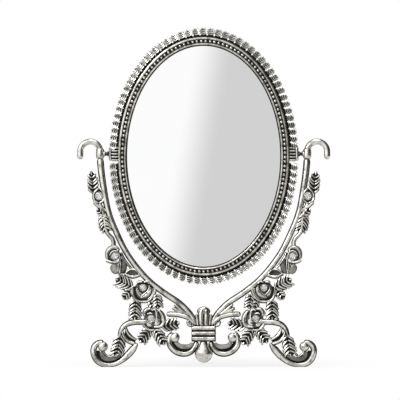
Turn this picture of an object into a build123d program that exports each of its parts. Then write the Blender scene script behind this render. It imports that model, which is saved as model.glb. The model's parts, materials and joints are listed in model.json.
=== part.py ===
from build123d import *
import math
import os

# Two-sided oval table mirror on a cast rose-vine stand, millimetres.
# X runs to the right, Z up, and the front faces -Y. The table is z = 0.
# Every casting is drawn flat as a relief: u across from the centre plane,
# v up from the table and w out towards the front.

# Mirror glass and what holds it
glass_half_width = 69.0
glass_half_height = 99.5
glass_thickness = 3.0
pad_thickness = 2.1
glass_cover = 2.5
glass_clearance = 0.1
seat_clearance = 0.05

# Section of the cast ring, from the edge of the visible glass outwards
lip_slope_width = 1.4
inner_crest_width = 1.4
groove_slope_width = 0.5
groove_width = 2.8
outer_crest_width = 1.5
crest_rise = 2.55
groove_rise = 0.95
outer_crest_rise = 2.35
rear_ring_clearance = 0.1
seat_depth = 2.0

# Leaf border round the ring
border_leaf_count = 94
border_leaf_length = 8.9
border_leaf_width = 5.9
border_leaf_thickness = 4.0
border_leaf_root = 0.7
leaves_to_a_hidden_flat = 2

# Pivot
pivot_above_centre = 2.2
head_above_table = 74.5
lug_length = 8.1
lug_height = 12.5
lug_thickness = 4.4
lug_bar_width = 1.7
lug_rib_count = 5
lug_rib_height = 1.2
lug_rib_proud = 0.5
pin_diameter = 2.6
pin_shoulder_diameter = 3.3
pin_shoulder_length = 1.7
pin_thread_length = 6.0
pin_journal_length = 4.6
pin_clearance = 0.05
lock_nut_diameter = 4.6
lock_nut_thickness = 1.7
washer_diameter = 4.6
washer_thickness = 0.8
end_clearance = 0.05

# Collar and hook
collar_diameter = 7.3
collar_height = 9.0
collar_boss_diameter = 4.2
collar_boss_proud = 0.35
collar_chamfer = 0.8
hook_diameter = 5.6
hook_bend_radius = 9.0
hook_bend_height = 2.1
hook_drop = 4.3
hook_sides = 10
hook_steps = 9
peg_diameter = 3.0
peg_length = 2.2
peg_clearance = 0.05

# Stand
lean_angle = 6.0
back_depth = 2.4
rod_rise = 2.3
leaf_plate_rise = -0.9
leaf_rib_rise = 0.7
leaf_rib_share = 0.8
leaf_slant = 0.7
petal_lean = 0.82
rose_heart_share = 0.62
bud_radius = 5.8
arm_top_width = 6.2
arm_waist_width = 4.4
arm_foot_width = 4.2
branch_width = 4.4
arch_width = 4.4
leg_width = 7.0
foot_rim_width = 4.3
scroll_knob_diameter = 8.4
drawn_pivot_reach = 93.65
drawn_pivot_height = 192.0
drawn_band_bottom = 22.8
drawn_band_top = 37.0

# Clasp
band_half_width = 11.2
band_bottom = 22.8
band_height = 14.2
band_rise = 3.6
band_ridge_count = 3
band_ridge_rise = 1.3
tang_thickness = 2.0
tang_gap = 0.6
tang_inset = 0.8
tang_above_band = 1.5
clasp_clearance = 0.05
fleur_width = 9.4
fleur_height = 18.0
pendant_diameter = 16.3
pendant_length = 18.6
pendant_flatten = 0.7
clasp_scroll_width = 4.0

# Rear leg and its screws
leg_plate_width = 17.0
leg_plate_height = 12.6
leg_plate_thickness = 2.6
rear_leg_width = 5.4
rear_leg_depth = 5.0
rear_leg_reach = 78.0
screw_spacing = 11.0
screw_diameter = 3.0
screw_head_diameter = 5.4
screw_head_height = 1.7
screw_bite = 2.6
screw_clearance = 0.05
screw_slot_width = 0.8

# Crystals
rose_crystal_diameter = 4.6
bud_crystal_diameter = 5.8
crystal_rise = 1.5
crystal_seat_depth = 1.0
crystal_sides = 8
crystal_clearance = 0.05

# Places worked out from the sizes above
half_stack = pad_thickness / 2 + glass_thickness
groove_start = lip_slope_width + inner_crest_width + groove_slope_width
groove_end = groove_start + groove_width
outer_crest_start = groove_end + groove_slope_width
ring_edge = outer_crest_start + outer_crest_width
leaf_line = ring_edge - border_leaf_root
border_edge = leaf_line + border_leaf_length
head_half_height = glass_half_height + border_edge
pivot_height = head_above_table + head_half_height + pivot_above_centre
lug_face = glass_half_width + ring_edge + lug_length
nut_face = lug_face + lock_nut_thickness
shoulder_face = nut_face + pin_shoulder_length
washer_face = shoulder_face + end_clearance + washer_thickness
boss_face = washer_face + end_clearance
pivot_reach = boss_face + collar_boss_proud + collar_diameter / 2
collar_bottom = pivot_height - collar_height / 2
lean = math.radians(lean_angle)
band_middle = band_bottom + band_height / 2


def at(u, v):
    """Place of a drawn point, once the arms reach from the band to the pivot."""
    share = max(0, v - drawn_band_top) / (drawn_pivot_height - drawn_band_top)
    return (
        u + (pivot_reach - drawn_pivot_reach) * share,
        v + (pivot_height - drawn_pivot_height) * share,
    )


def placed(points):
    return [at(u, v) for u, v in points]


def outline(points):
    return make_face(Polyline(*points, close=True))


def along(values, share):
    """Value at a share of the way through an evenly spaced list."""
    place = share * (len(values) - 1)
    low = min(int(place), len(values) - 2)
    return values[low] + (values[low + 1] - values[low]) * (place - low)


def swept(points, widths, section, stations):
    """Sections of changing width set square to a smooth line through the points."""
    path = Spline(*[Vector(u, v, 0) for u, v in points])
    sections = []
    for index in range(stations):
        share = index / (stations - 1)
        heading = path % share
        plane = Plane(path @ share, x_dir=Vector(-heading.Y, heading.X, 0), z_dir=heading)
        sections.append(plane * outline(section(along(widths, share) / 2)))
    return loft(sections, ruled=True)


def rod(points, widths, crest=rod_rise, stations=6, facets=5, back=back_depth):
    """Half-round cast rod with a flat back."""
    turns = [math.pi * (1 - step / facets) for step in range(facets + 1)]

    def half_round(half):
        bow = [(half * math.cos(turn), crest * math.sin(turn)) for turn in turns]
        return [(-half, -back)] + bow + [(half, -back)]

    return swept(points, widths, half_round, stations)


def strand(points, widths, crest, stations=5, back=back_depth):
    """Light rod of the vine and of the scroll rims, three facets wide."""
    return rod(points, widths, crest, stations, facets=3, back=back)


def polygon(corners):
    return Face(Wire.make_polygon(corners, close=True))


def flat_walls(here, there):
    """Walls between two rings of corners."""
    return [
        polygon([here[index - 1], here[index], there[index], there[index - 1]])
        for index in range(len(here))
    ]


def skinned(rings):
    """Faceted solid through a row of rings, closed at both ends."""
    walls = [polygon(rings[0]), polygon(rings[-1])]
    for here, there in zip(rings, rings[1:]):
        walls += flat_walls(here, there)
    return Solid(Shell(walls))


def round_sections(profile, flatten=1.0, sides=12):
    """Turned form standing on the drawing, faceted, from (radius, height) steps."""
    turns = [2 * math.pi * step / sides for step in range(sides)]
    return skinned([
        [Vector(radius * math.cos(turn), flatten * radius * math.sin(turn), height) for turn in turns]
        for radius, height in profile
    ])


def leaf(base, tip, width, ribs=4, top=leaf_rib_rise):
    """Feathered leaf: ribs slant forward from the midrib and end in teeth."""
    base, tip = at(*base), at(*tip)
    length = math.dist(base, tip)
    heading = math.degrees(math.atan2(tip[1] - base[1], tip[0] - base[0]))
    step = leaf_rib_share * length / ribs
    spine, teeth = [], []
    for index in range(ribs):
        root = index * step
        reach = width / 2 * (1 - 0.6 * abs(index / ribs - 0.3))
        spine += [(root, 0, top), (root + step / 2, 0, leaf_plate_rise)]
        teeth += [
            (root + leaf_slant * reach, reach, top / 2),
            (root + step / 2 + leaf_slant * 0.75 * reach, 0.72 * reach, leaf_plate_rise),
        ]
    spine.append((length, 0, top / 2))
    rim = [spine[0]] + teeth + [spine[-1]] + [(x, -y, w) for x, y, w in reversed(teeth)]
    sides = []
    for side in (1, -1):
        edge = [(x, side * y, w) for x, y, w in teeth] + [spine[-1]]
        for index, start in enumerate(spine[:-1]):
            sides.append((start, edge[index], edge[index + 1]))
            if index < len(spine) - 2:
                sides.append((start, edge[index + 1], spine[index + 1]))
    for here, there in zip(rim, rim[1:] + rim[:1]):
        sides.append((here, there, (*there[:2], -back_depth), (*here[:2], -back_depth)))
    sides.append([(x, y, -back_depth) for x, y, w in rim])
    body = Solid(Shell([polygon(corners) for corners in sides]))
    return Pos(*base, 0) * Rot(0, 0, heading) * body


def lobed(radius, count, turn, depth=0.16, points=3):
    """Outline with round lobes, as of a ring of petals seen from the front."""
    corners = []
    for index in range(count * points):
        share = (index % points) / points
        reach = radius * (1 - depth * (2 * share - 1) ** 2)
        angle = math.radians(turn + 360.0 * index / (count * points))
        corners.append((reach * math.cos(angle), reach * math.sin(angle)))
    return outline(corners)


def petals(place, radius, count, turn, top):
    """Tier of petals that leans in towards the front."""
    tier = loft([
        Pos(0, 0, -back_depth) * lobed(radius, count, turn),
        Pos(0, 0, top) * lobed(petal_lean * radius, count, turn),
    ], ruled=True)
    return Pos(*place, 0) * tier


def crystal(diameter, seat):
    """Cut stone: straight girdle in its seat, bevelled crown and a flat table."""
    radius = diameter / 2
    girdle = seat + crystal_seat_depth
    steps = [(radius, seat), (radius, girdle), (0.55 * radius, girdle + crystal_rise)]
    return round_sections(steps, sides=crystal_sides)


def crystal_seat(diameter, seat):
    """Pocket for a stone, open to the front."""
    radius = diameter / 2 + crystal_clearance / math.cos(math.pi / crystal_sides)
    return round_sections([(radius, seat), (radius, seat + 6)], sides=crystal_sides)


def knob(place, diameter, rise):
    """Ball end of a scroll, flat at the back."""
    radius = diameter / 2
    steps = [(radius, -back_depth), (radius, 0), (0.8 * radius, 0.65 * rise), (0.4 * radius, rise)]
    return Pos(*place, 0) * round_sections(steps, sides=10)


def stand_place(shape):
    """Stand a relief up and lean it back on the table line."""
    return Rot(-lean_angle, 0, 0) * (Plane.XZ * shape)


def on_table(shape):
    """Cut a standing piece flat where it meets the table."""
    below = Pos(0, 0, -50) * Box(600, 600, 100)
    return shape - below


# Mirror head, drawn on its own centre

def oval_flats():
    """Middle and outward heading of each flat of the oval, one flat under each border leaf."""
    upwards = Plane((0, 0, 0), x_dir=(0, 1, 0), z_dir=(0, 0, 1))
    line = Edge.make_ellipse(glass_half_height + leaf_line, glass_half_width + leaf_line, plane=upwards)
    shares = [index / border_leaf_count for index in range(border_leaf_count)]
    return [(line @ share, Vector((line % share).Y, -(line % share).X, 0)) for share in shares]


def oval_corners(distance, height, leaves_to_a_flat=1):
    """Corners between the flats, at a distance outside the visible glass."""
    sides = [
        (outward, middle.dot(outward) + distance - leaf_line)
        for middle, outward in oval_flats()[::leaves_to_a_flat]
    ]
    corners = []
    for (first, first_reach), (second, second_reach) in zip(sides[-1:] + sides, sides):
        turn = first.X * second.Y - first.Y * second.X
        across = (first_reach * second.Y - second_reach * first.Y) / turn
        up = (second_reach * first.X - first_reach * second.X) / turn
        corners.append(Vector(across, up, height))
    return corners


def oval_ring(profile):
    """Closed ring whose section is the given profile; hidden walls have wider flats."""
    walls = []
    for here, there in zip(profile, profile[1:] + profile[:1]):
        first, second = oval_corners(*here), oval_corners(*there)
        if here[1] == there[1]:
            outer, inner = (first, second) if here[0] > there[0] else (second, first)
            walls.append(Face(Wire.make_polygon(outer), [Wire.make_polygon(inner)]))
        else:
            walls += flat_walls(first, second)
    return Solid(Shell(walls))


def border_leaf():
    """Ribbed tongue of the border, pointing out along +Z."""
    half = border_leaf_width / 2
    steps = ((0.0, 0.86), (0.64, 1.0), (1.0, 0.46))
    profile = [(half * scale, share * border_leaf_length) for share, scale in steps]
    return round_sections(profile, border_leaf_thickness / border_leaf_width, sides=4)


def frame_body():
    crest = half_stack + crest_rise
    groove = half_stack + groove_rise
    outer_crest = half_stack + outer_crest_rise
    cavity = glass_cover + glass_clearance
    rear_edge = groove_end + rear_ring_clearance
    seat = pad_thickness / 2 - seat_depth
    wide = leaves_to_a_hidden_flat
    body = oval_ring([
        (0, half_stack),
        (lip_slope_width, crest),
        (lip_slope_width + inner_crest_width, crest),
        (groove_start, groove),
        (groove_end, groove),
        (outer_crest_start, outer_crest),
        (ring_edge, outer_crest),
        (ring_edge, -outer_crest),
        (rear_edge, -outer_crest, wide),
        (rear_edge, seat, wide),
        (cavity, seat, wide),
        (cavity, half_stack, wide),
    ])
    tongue = border_leaf()
    tongues = []
    for middle, outward in oval_flats():
        if abs(middle.Y - pivot_above_centre) > (lug_height + border_leaf_width) / 2:
            sideways = (-outward.Y, outward.X, 0)
            tongues.append(Plane(middle, x_dir=sideways, z_dir=outward) * tongue)
    lugs = []
    inner = glass_half_width + (outer_crest_start + ring_edge) / 2
    for side in (-1, 1):
        web = Box(lug_face - inner, lug_height, lug_thickness)
        lugs.append(Pos(side * (lug_face + inner) / 2, pivot_above_centre, 0) * web)
        bar = Box(lug_bar_width, lug_height, lug_thickness + 4 * lug_rib_proud)
        lugs.append(Pos(side * (lug_face - lug_bar_width / 2), pivot_above_centre, 0) * bar)
        pitch = (lug_height - lug_rib_height) / (lug_rib_count - 1)
        rib_length = lug_face - lug_bar_width - inner
        for index in range(lug_rib_count):
            height = pivot_above_centre - lug_height / 2 + lug_rib_height / 2 + index * pitch
            bead = Box(rib_length, lug_rib_height, lug_thickness + 2 * lug_rib_proud)
            lugs.append(Pos(side * (inner + rib_length / 2), height, 0) * bead)
    body = body.fuse(*tongues, *lugs)
    for side in (-1, 1):
        bore = Cylinder(pin_diameter / 2 + pin_clearance, pin_thread_length, rotation=(0, 90, 0))
        body -= Pos(side * (lug_face - pin_thread_length / 2), pivot_above_centre, 0) * bore
    return body


def rear_ring():
    crest = half_stack + crest_rise
    groove = half_stack + groove_rise
    seat = pad_thickness / 2 - seat_depth - seat_clearance
    wall = glass_cover + glass_clearance
    wide = leaves_to_a_hidden_flat
    return oval_ring([
        (0, -half_stack),
        (lip_slope_width, -crest),
        (lip_slope_width + inner_crest_width, -crest),
        (groove_start, -groove),
        (groove_end, -groove, wide),
        (groove_end, seat, wide),
        (wall, seat, wide),
        (wall, -half_stack, wide),
    ])


def oval_plate(inset, bottom, thickness):
    edge = oval_corners(glass_cover - inset, bottom, leaves_to_a_hidden_flat)
    return extrude(polygon(edge), thickness, dir=(0, 0, 1))


def head_place(shape):
    """Hang the upright head on the pivot axis of the leaning stand."""
    hinge = Pos(0, pivot_height * math.sin(lean), pivot_height * math.cos(lean))
    return hinge * Pos(0, 0, -pivot_above_centre) * (Plane.XZ * shape)


# Pivot hardware, drawn along +X on the pivot axis

def turned(diameter, start, end):
    piece = Cylinder(diameter / 2, end - start, rotation=(0, 90, 0))
    return Pos((start + end) / 2, 0, 0) * piece


def faceted(diameter, start, end, sides=12):
    """Length of the hardware that fits nothing closely, with flat walls."""
    return Rot(0, 90, 0) * round_sections([(diameter / 2, start), (diameter / 2, end)], sides=sides)


def pivot_pin():
    thread = faceted(pin_diameter, lug_face - pin_thread_length + end_clearance, nut_face)
    shoulder = faceted(pin_shoulder_diameter, nut_face, shoulder_face)
    journal = turned(pin_diameter, shoulder_face, boss_face + pin_journal_length)
    return journal.fuse(thread, shoulder)


def lock_nut():
    bore = faceted(pin_diameter + 2 * pin_clearance, lug_face - 1, nut_face + 1)
    return faceted(lock_nut_diameter, lug_face, nut_face, sides=6) - bore


def washer():
    start = shoulder_face + end_clearance
    bore = turned(pin_diameter + 2 * pin_clearance, start - 1, washer_face + 1)
    return faceted(washer_diameter, start, washer_face, sides=16) - bore


def pivot_place(shape):
    """Put hardware on the pivot axis; it turns with the head or stays on the stand."""
    return Pos(0, pivot_height * math.sin(lean), pivot_height * math.cos(lean)) * shape


# Stand castings, right-hand side

def hook():
    """Collar on the arm's top, with the crook above it."""
    wide, half = collar_diameter / 2, collar_height / 2
    narrow = wide - collar_chamfer
    steps = [(narrow, -half), (wide, collar_chamfer - half), (wide, half - collar_chamfer), (narrow, half)]
    body = Pos(pivot_reach, pivot_height, 0) * Rot(90, 0, 0) * round_sections(steps, sides=hook_sides)
    boss = round_sections([(collar_boss_diameter / 2, 0), (collar_boss_diameter / 2, wide)], sides=hook_sides)
    body += Pos(boss_face, pivot_height, 0) * Rot(0, 90, 0) * boss
    radius = hook_diameter / 2
    stops = [(math.pi * step / hook_steps, 0, 1) for step in range(hook_steps + 1)]
    stops += [
        (math.pi, hook_drop, 1),
        (math.pi, hook_drop + 0.6 * radius, 0.8),
        (math.pi, hook_drop + radius, 0.4),
    ]
    rings = []
    for turn, drop, scale in stops:
        ring = []
        for corner in [2 * math.pi * step / hook_sides for step in range(hook_sides)]:
            reach = hook_bend_radius + scale * radius * math.cos(corner)
            ring.append(Vector(
                pivot_reach + hook_bend_radius - reach * math.cos(turn),
                pivot_height + hook_bend_height + reach * math.sin(turn) - drop,
                scale * radius * math.sin(corner),
            ))
        rings.append(ring)
    body += skinned(rings)
    depth = boss_face + pin_journal_length + end_clearance
    body -= Pos(0, pivot_height, 0) * turned(pin_diameter + 2 * pin_clearance, boss_face - 1, depth)
    socket = Cylinder(peg_diameter / 2 + peg_clearance, peg_length + end_clearance, rotation=(90, 0, 0))
    body -= Pos(pivot_reach, collar_bottom + (peg_length + end_clearance) / 2, 0) * socket
    return body


rose_places = (((53.5, 68.0), 10.6, 20.0), ((44.4, 42.6), 9.7, 200.0))
rose_stones = ((54.4, 71.0), (46.9, 43.3))
bud_places = ((94.3, 153.7), (80.2, 99.6))
rose_seat = 2.0
bud_seat = 0.6


def rose(place, radius, turn):
    outer = petals(place, radius, 5, turn, 1.0)
    inner = petals(place, rose_heart_share * radius, 3, turn + 30, rose_seat + 1.2)
    return [outer, inner]


def arm():
    """Right arm: rod, rose vine, arch, leg and foot scroll in one casting."""
    top = (drawn_pivot_reach, drawn_pivot_height - collar_height / 2 + 0.8)
    main = [
        top, (91.7, 170), (86.4, 141), (78.3, 120), (67.9, 100), (52.5, 80.5),
        (37, 67.5), (22, 57.5), (13, 48.7), (9.2, 43), (7.7, 37.2),
    ]
    widths = [arm_top_width, 5.6, arm_waist_width, arm_waist_width, 4.6, 4.6, arm_foot_width]
    branch = [(33.5, 47.4), (25, 47.2), (16, 45.2), (11, 42), (8, 38.2)]
    arch = [(50, 40.6), (63, 40.2), (70, 38), (74, 33.5), (76, 27)]
    leg = [
        (59.5, 21.5), (63.2, 16.6), (67.5, 11.6), (71.8, 7.4), (76.5, 4.2), (81, 2.5),
        (85.5, 1.9), (89.8, 2.3), (94.2, 4.6), (97.4, 8.8), (98.8, 14.6), (96.4, 20.2), (92.4, 22.2),
    ]
    leg_widths = [5.6, leg_width, 6.4, 5.0, foot_rim_width, foot_rim_width, 5.6, 6.2, 5.2, 3.4]
    foot_web = [(73.5, 11.4), (79, 7.4), (85.5, 5.8), (91, 7.6), (93, 13.5)]
    stem = [(94.5, 148), (90, 138), (89.4, 128), (84.4, 117), (80.6, 106)]
    hood = [(76, 84), (82.5, 87), (87, 94.5), (86, 103), (80.5, 108)]
    pieces = [
        rod(placed(main), widths, stations=15),
        rod(placed(branch), [branch_width, 3.8], stations=5),
        rod(placed(arch), [arch_width, arch_width, 3.2]),
        rod(placed(leg), leg_widths, stations=15),
        strand(placed(foot_web), [2.8, 4.6, 5.0, 4.2], 0.4, 6),
        knob(at(89.6, 18.6), scroll_knob_diameter, rod_rise + 0.8),
        strand(placed([(70, 35.4), (68.4, 31), (65.4, 27.4), (60.6, 24.4)]), [1.4, 2.6, 1.6], 1.6),
        strand(placed([(73.2, 31.5), (71.2, 26.8), (67.6, 23), (61.5, 20.6)]), [2.0, 2.6, 2.6], 1.6),
        strand(placed([(69, 33), (69.2, 29.4), (66, 25.4), (61.5, 22.6)]), [2.0, 3.4, 2.6], -0.4),
        strand(placed(stem), [2.6, 3.0, 3.0], 1.4, 7),
        strand(placed(hood), [3.4, 4.4, 3.6, 2.6], 1.8, 6),
        strand(placed([(75.8, 83.5), (74.8, 92), (75.6, 99), (78, 106)]), [3.4, 4.6, 3.6], 1.2),
        strand(placed([(70.5, 84.2), (66.5, 87), (61.5, 87.2), (57.4, 83.4)]), [1.6, 2.4, 2.0], 1.6),
        strand(placed([(71.5, 84), (66.5, 82.2), (62, 82.2), (57.4, 83)]), [2.4, 3.4, 2.2], 1.0),
    ]
    for place, across, turn in rose_places:
        pieces += rose(at(*place), across, turn)
    for place in bud_places:
        pieces.append(petals(at(*place), bud_radius, 3, 30, bud_seat + 1.2))
    for base, tip, width, ribs in vine_leaves:
        pieces.append(leaf(base, tip, width, ribs))
    tang_top = band_bottom + band_height + tang_above_band
    tang = Box(
        band_half_width - tang_inset - tang_gap / 2,
        tang_top - band_bottom - tang_inset,
        tang_thickness,
        align=(Align.MIN, Align.MIN, Align.MIN),
    )
    pieces.append(Pos(tang_gap / 2, band_bottom + tang_inset, -back_depth) * tang)
    body = pieces[0].fuse(*pieces[1:])
    body -= Pos(pivot_reach, collar_bottom + 5, 0) * Box(20, 10, 20)
    peg = Cylinder(peg_diameter / 2, peg_length, rotation=(90, 0, 0))
    body += Pos(pivot_reach, collar_bottom + peg_length / 2, 0) * peg
    hole = Cylinder(screw_diameter / 2 + screw_clearance, 12)
    body -= Pos(screw_spacing / 2, band_middle, -back_depth) * hole
    for place in rose_stones:
        body -= Pos(*at(*place), 0) * crystal_seat(rose_crystal_diameter, rose_seat)
    for place in bud_places:
        body -= Pos(*at(*place), 0) * crystal_seat(bud_crystal_diameter, bud_seat)
    return body


# Leaves of the vine: base, tip, width and ribs on each side
vine_leaves = (
    ((98.5, 157), (100, 176), 8.2, 4),
    ((89, 134.5), (97, 143), 6.0, 3),
    ((90.6, 136), (86.6, 120), 10.0, 5),
    ((72.6, 84), (71.6, 103), 5.0, 3),
    ((73.5, 82), (77.5, 70.5), 9.0, 3),
    ((68.5, 82), (68.5, 61), 8.6, 4),
    ((60.3, 62.6), (61.8, 42.5), 11.0, 5),
    ((42, 67), (41, 50.5), 8.6, 4),
    ((48, 38), (55.5, 21.5), 8.4, 4),
    ((42.5, 34.5), (38, 20.8), 8.4, 4),
    ((40, 35.5), (22, 39.6), 8.4, 4),
    ((14, 47.5), (27.6, 54.6), 5.4, 3),
    ((73, 11.5), (77.4, 26), 9.4, 4),
)


def clasp():
    """Ribbed band over both arm ends, with fleur, pendant ball and scrolls."""
    seat = -back_depth + tang_thickness + clasp_clearance
    top = band_bottom + band_height
    band = Box(2 * band_half_width, band_height, band_rise - seat)
    body = Pos(0, band_middle, (band_rise + seat) / 2) * band
    pitch = band_height / band_ridge_count
    ridge = outline([
        (-0.42 * pitch, band_rise - 0.2),
        (-0.24 * pitch, band_rise + band_ridge_rise),
        (0.24 * pitch, band_rise + band_ridge_rise),
        (0.42 * pitch, band_rise - 0.2),
    ])
    for index in range(band_ridge_count):
        middle = band_bottom + (index + 0.5) * pitch
        across = Plane((-band_half_width, middle, 0), x_dir=(0, 1, 0), z_dir=(1, 0, 0))
        body += extrude(across * ridge, 2 * band_half_width)
    bulb = [(0, top - 0.4)] + [(0, top + share * fleur_height) for share in (0.4, 0.75, 1.0)]
    widths = [share * fleur_width for share in (0.8, 0.94, 1.0, 0.96, 0.4)]
    body += strand(bulb, widths, band_rise + 0.4, back=-seat)
    body -= Pos(0, top + 0.38 * fleur_height, band_rise + 0.9) * Box(0.9, 0.74 * fleur_height, 3)
    steps = ((0.43, -0.02), (0.66, 0.12), (0.91, 0.3), (1.0, 0.55), (0.88, 0.76), (0.56, 0.925), (0.2, 1.0))
    ball = [(share * pendant_diameter / 2, drop * pendant_length) for share, drop in steps]
    pendant = Pos(0, band_bottom, 0) * Rot(90, 0, 0) * round_sections(ball, pendant_flatten, sides=10)
    pendant -= Pos(0, band_bottom, -back_depth - 10) * Box(40, 60, 20)
    body += pendant
    low = band_bottom - drawn_band_bottom
    for side in (-1, 1):
        petal = [(4.6, top - 0.4), (5.0, top + 5), (6.4, top + 10.2)]
        rim = [
            (6.0, 23.2), (8.4, 17.3), (12.5, 13.2), (18.5, 11.9), (25, 13.9), (29.6, 18.6),
            (30.5, 24), (28.4, 27.4),
        ]
        web = [(8.8, 20.5), (12.5, 17.4), (18, 16.6), (23.5, 18.6), (26, 23.4)]
        half = strand(petal, [1.4, 1.6, 0.7], band_rise - 1, 4, back=-seat)
        half += strand([(u, v + low) for u, v in rim], [clasp_scroll_width] * 2, rod_rise, 8)
        half += strand([(u, v + low) for u, v in web], [2.4, 5.2, 6.4, 5.0, 4.0], 0.2, 5)
        half += knob((25, 27.2 + low), 2 * clasp_scroll_width, rod_rise + 0.8)
        body += half if side == 1 else mirrored(half)
        bore = Cylinder(screw_diameter / 2 + screw_clearance, 2 * (screw_bite + screw_clearance))
        body -= Pos(side * screw_spacing / 2, band_middle, seat) * bore
    return body


def leg_plate():
    plate = Box(leg_plate_width, leg_plate_height, leg_plate_thickness)
    plate = Pos(0, band_middle, -back_depth - leg_plate_thickness / 2) * plate
    for side in (-1, 1):
        hole = Cylinder(screw_diameter / 2 + screw_clearance, 3 * leg_plate_thickness)
        plate -= Pos(side * screw_spacing / 2, band_middle, -back_depth) * hole
    return plate


def rear_leg():
    """Scrolled strut that runs back from the band to the table."""
    def flat_bar(half):
        side = rear_leg_width / 2
        return [(-half, -side), (half, -side), (half, side), (-half, side)]

    start = back_depth + leg_plate_thickness + 2
    reach, low = rear_leg_reach, rear_leg_depth / 2
    line = [
        (start, band_middle), (20, 33), (36, 26), (52, 13.5), (reach - 12, low + 2), (reach - 3, low),
        (reach + 2.6, low + 3), (reach + 2.2, low + 8), (reach - 2.4, low + 9.4), (reach - 4.4, low + 6.6),
    ]
    side_view = Plane((0, 0, 0), x_dir=(0, 1, 0), z_dir=(1, 0, 0))
    widths = [7.6, 6.4, rear_leg_depth, rear_leg_depth + 0.4, rear_leg_depth + 0.4, 3.6]
    strut = side_view * swept(line, widths, flat_bar, 17)
    strut -= stand_place(Pos(0, band_middle, 10 - back_depth) * Box(40, 40, 20))
    return strut + stand_place(leg_plate())


def clasp_screws():
    """Two slotted screws, driven in from behind."""
    screws = []
    for side in (-1, 1):
        back = -back_depth - leg_plate_thickness
        tip = -back_depth + tang_thickness + clasp_clearance + screw_bite
        shank = round_sections([(screw_diameter / 2, back), (screw_diameter / 2, tip)])
        head = round_sections([
            (0.7 * screw_head_diameter / 2, back - screw_head_height),
            (screw_head_diameter / 2, back - 0.4 * screw_head_height),
            (screw_head_diameter / 2, back),
        ])
        slot = Box(screw_head_diameter, screw_slot_width, screw_head_height)
        screw = shank + head - Pos(0, 0, back - screw_head_height) * slot
        screws.append(Pos(side * screw_spacing / 2, band_middle, 0) * screw)
    return Compound(children=screws)


def mirrored(shape):
    return mirror(shape, about=Plane.YZ)


def both_sides(name, shape, nodes):
    nodes["right_" + name] = shape
    nodes["left_" + name] = mirrored(shape)


nodes = {
    "mirror_frame": head_place(frame_body()),
    "rear_ring": head_place(rear_ring()),
    "front_glass": head_place(oval_plate(0, pad_thickness / 2, glass_thickness)),
    "backing_pad": head_place(oval_plate(glass_clearance, -pad_thickness / 2, pad_thickness)),
    "rear_glass": head_place(oval_plate(0, -half_stack, glass_thickness)),
    "centre_clasp": stand_place(clasp()),
    "rear_leg": on_table(rear_leg()),
    "clasp_screws": stand_place(clasp_screws()),
}
both_sides("pivot_pin", pivot_place(pivot_pin()), nodes)
both_sides("lock_nut", pivot_place(lock_nut()), nodes)
both_sides("washer", pivot_place(washer()), nodes)
both_sides("hook", stand_place(hook()), nodes)
both_sides("arm", on_table(stand_place(arm())), nodes)
for level, rose_stone, bud_stone in zip(("lower", "upper"), reversed(rose_stones), reversed(bud_places)):
    stone = Pos(*at(*rose_stone), 0) * crystal(rose_crystal_diameter, rose_seat)
    both_sides(level + "_rose_crystal", stand_place(stone), nodes)
    stone = Pos(*at(*bud_stone), 0) * crystal(bud_crystal_diameter, bud_seat)
    both_sides(level + "_bud_crystal", stand_place(stone), nodes)

# The origin lies on the table, under the middle of the whole mirror
boxes = [shape.bounding_box() for shape in nodes.values()]
front = min(box.min.Y for box in boxes)
back = max(box.max.Y for box in boxes)
origin = Pos(0, -(front + back) / 2, 0)

os.makedirs("parts", exist_ok=True)
for name, shape in nodes.items():
    export_step(origin * shape, f"parts/{name}.step")
    print(name, round(shape.volume, 1))
hinge = (origin * pivot_place(Location((0, 0, 0)))).position
print("pivot axis at y", round(hinge.Y, 3), "z", round(hinge.Z, 3))
print("table line of the stand at y", round(-(front + back) / 2, 3))
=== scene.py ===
import json
import math

import bmesh
import bpy
from mathutils import Matrix, Vector


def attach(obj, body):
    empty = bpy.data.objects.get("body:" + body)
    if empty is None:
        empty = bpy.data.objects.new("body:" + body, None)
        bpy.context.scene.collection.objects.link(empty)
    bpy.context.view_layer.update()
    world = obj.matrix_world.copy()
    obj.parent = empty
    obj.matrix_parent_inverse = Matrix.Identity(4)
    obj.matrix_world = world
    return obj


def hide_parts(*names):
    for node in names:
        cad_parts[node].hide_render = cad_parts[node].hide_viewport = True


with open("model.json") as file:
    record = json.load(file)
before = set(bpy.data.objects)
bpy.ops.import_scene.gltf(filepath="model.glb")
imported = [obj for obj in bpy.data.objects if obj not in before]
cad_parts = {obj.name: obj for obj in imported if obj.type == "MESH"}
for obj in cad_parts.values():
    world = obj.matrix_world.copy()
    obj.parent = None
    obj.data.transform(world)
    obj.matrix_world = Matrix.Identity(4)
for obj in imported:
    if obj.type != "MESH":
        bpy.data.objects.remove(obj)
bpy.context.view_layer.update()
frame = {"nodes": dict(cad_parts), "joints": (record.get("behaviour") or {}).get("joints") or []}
print("frame loaded:", len(frame["nodes"]), "nodes")

# Castings are drawn flat in millimetres: x across, y up from the table, z out to the front
leanAngle = math.radians(6)
backDepth = 2.4
pivotAboveCentre = 2.2
hinge = Vector(frame["joints"][0]["pos_m"])
pivotHeight = hinge.z / math.cos(leanAngle) * 1000
tableLine = hinge.y - hinge.z * math.tan(leanAngle)
upright = Matrix(((0.001, 0, 0, 0), (0, 0, -0.001, 0), (0, 0.001, 0, 0), (0, 0, 0, 1)))
standPlace = Matrix.Translation((0, tableLine, 0)) @ Matrix.Rotation(-leanAngle, 4, "X") @ upright
headPlace = Matrix.Translation((0, hinge.y, hinge.z - 0.001 * pivotAboveCentre)) @ upright
sidePlace = Matrix(((0, 0, 0.001, 0), (0.001, 0, 0, tableLine), (0, 0.001, 0, 0), (0, 0, 0, 1)))

# Modelling helpers, in drawing millimetres

# the fall sets how far up a strand's sides the painted shade reaches
rodForm = {
    "fineness": 8, "ends": (0.02, 0.25, 0.6), "steepest": 0.55, "skirtSpread": 1.3, "sideShadeFall": 1.4,
}


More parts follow.
